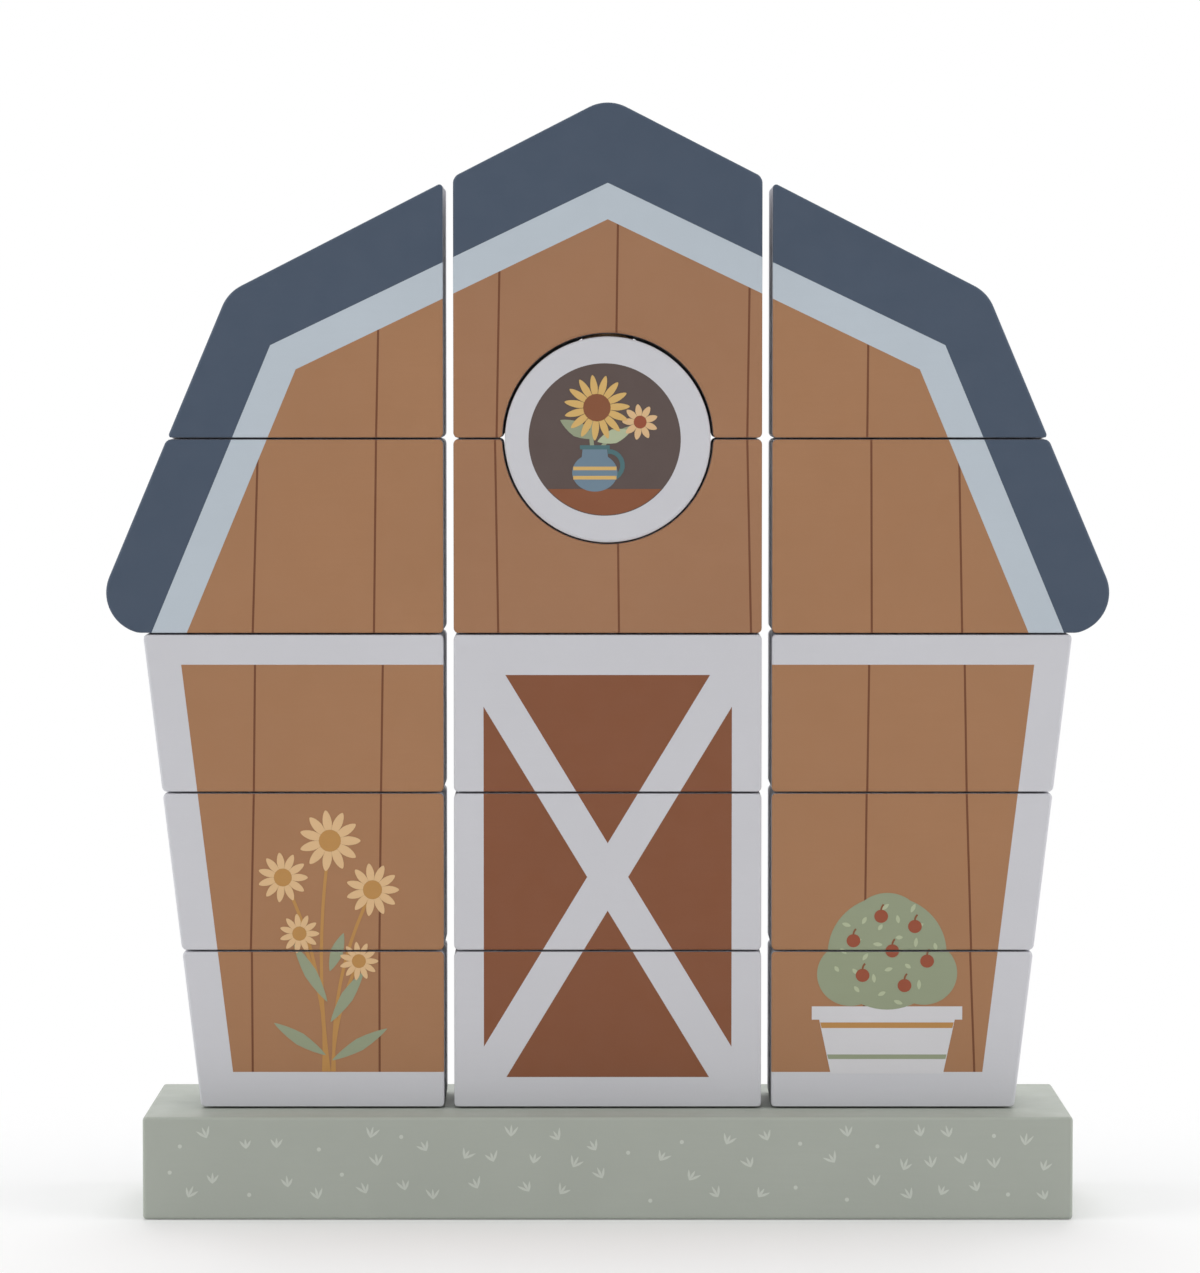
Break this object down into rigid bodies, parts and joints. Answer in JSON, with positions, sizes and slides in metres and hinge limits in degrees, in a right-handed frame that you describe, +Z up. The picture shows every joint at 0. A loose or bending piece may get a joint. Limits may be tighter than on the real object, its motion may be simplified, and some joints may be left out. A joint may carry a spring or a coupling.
{
  "type": "stacking farm toy",
  "caption": "Barn-shaped stacking toy: painted wooden blocks and a round window disc threaded on pegs in a base board.",
  "frame": {"origin": "middle of the base board's underside, where the toy stands", "axes": "+X across the barn to the viewer's right, +Y from the painted front to the back, +Z up along the pegs"},
  "size_m": [0.1952, 0.044, 0.216],
  "materials": {
    "sage_paint": "matt water-based paint",
    "bare_beech": "sanded bare wood",
    "white_paint": "matt water-based paint",
    "roof_blue_paint": "matt water-based paint",
    "barn_brown_paint": "matt water-based paint"
  },
  "bodies": {
    "stand": {"base_board": "sage_paint", "peg_left": "bare_beech", "peg_centre": "bare_beech", "peg_right": "bare_beech"},
    "left_wall_bottom": {"left_wall_bottom": "white_paint"},
    "left_wall_middle": {"left_wall_middle": "white_paint"},
    "left_wall_top": {"left_wall_top": "white_paint"},
    "left_eaves": {"left_eaves": "roof_blue_paint"},
    "left_roof": {"left_roof": "roof_blue_paint"},
    "right_wall_bottom": {"right_wall_bottom": "white_paint"},
    "right_wall_middle": {"right_wall_middle": "white_paint"},
    "right_wall_top": {"right_wall_top": "white_paint"},
    "right_eaves": {"right_eaves": "roof_blue_paint"},
    "right_roof": {"right_roof": "roof_blue_paint"},
    "door_bottom": {"door_bottom": "white_paint"},
    "door_middle": {"door_middle": "white_paint"},
    "door_top": {"door_top": "white_paint"},
    "gable_lower": {"gable_lower": "barn_brown_paint"},
    "round_window": {"round_window": "white_paint"},
    "gable_top": {"gable_top": "roof_blue_paint"}
  },
  "joints": [
    {"name": "lift_left_wall_bottom", "type": "slide", "parent": "stand", "child": "left_wall_bottom", "axis": [0, 0, 1], "range_m": [0, 0.157]},
    {"name": "lift_left_wall_middle", "type": "slide", "parent": "left_wall_bottom", "child": "left_wall_middle", "axis": [0, 0, 1], "range_m": [0, 0.126]},
    {"name": "lift_left_wall_top", "type": "slide", "parent": "left_wall_middle", "child": "left_wall_top", "axis": [0, 0, 1], "range_m": [0, 0.095]},
    {"name": "lift_left_eaves", "type": "slide", "parent": "left_wall_top", "child": "left_eaves", "axis": [0, 0, 1], "range_m": [0, 0.064]},
    {"name": "lift_left_roof", "type": "slide", "parent": "left_eaves", "child": "left_roof", "axis": [0, 0, 1], "range_m": [0, 0.026]},
    {"name": "lift_right_wall_bottom", "type": "slide", "parent": "stand", "child": "right_wall_bottom", "axis": [0, 0, 1], "range_m": [0, 0.157]},
    {"name": "lift_right_wall_middle", "type": "slide", "parent": "right_wall_bottom", "child": "right_wall_middle", "axis": [0, 0, 1], "range_m": [0, 0.126]},
    {"name": "lift_right_wall_top", "type": "slide", "parent": "right_wall_middle", "child": "right_wall_top", "axis": [0, 0, 1], "range_m": [0, 0.095]},
    {"name": "lift_right_eaves", "type": "slide", "parent": "right_wall_top", "child": "right_eaves", "axis": [0, 0, 1], "range_m": [0, 0.064]},
    {"name": "lift_right_roof", "type": "slide", "parent": "right_eaves", "child": "right_roof", "axis": [0, 0, 1], "range_m": [0, 0.026]},
    {"name": "lift_door_bottom", "type": "slide", "parent": "stand", "child": "door_bottom", "axis": [0, 0, 1], "range_m": [0, 0.1755]},
    {"name": "lift_door_middle", "type": "slide", "parent": "door_bottom", "child": "door_middle", "axis": [0, 0, 1], "range_m": [0, 0.1445]},
    {"name": "lift_door_top", "type": "slide", "parent": "door_middle", "child": "door_top", "axis": [0, 0, 1], "range_m": [0, 0.1135]},
    {"name": "lift_gable_lower", "type": "slide", "parent": "door_top", "child": "gable_lower", "axis": [0, 0, 1], "range_m": [0, 0.0825]},
    {"name": "lift_round_window", "type": "slide", "parent": "gable_lower", "child": "round_window", "axis": [0, 0, 1], "range_m": [0, 0.0647]},
    {"name": "lift_gable_top", "type": "slide", "parent": "round_window", "child": "gable_top", "axis": [0, 0, 1], "range_m": [0, 0.0445]}
  ]
}
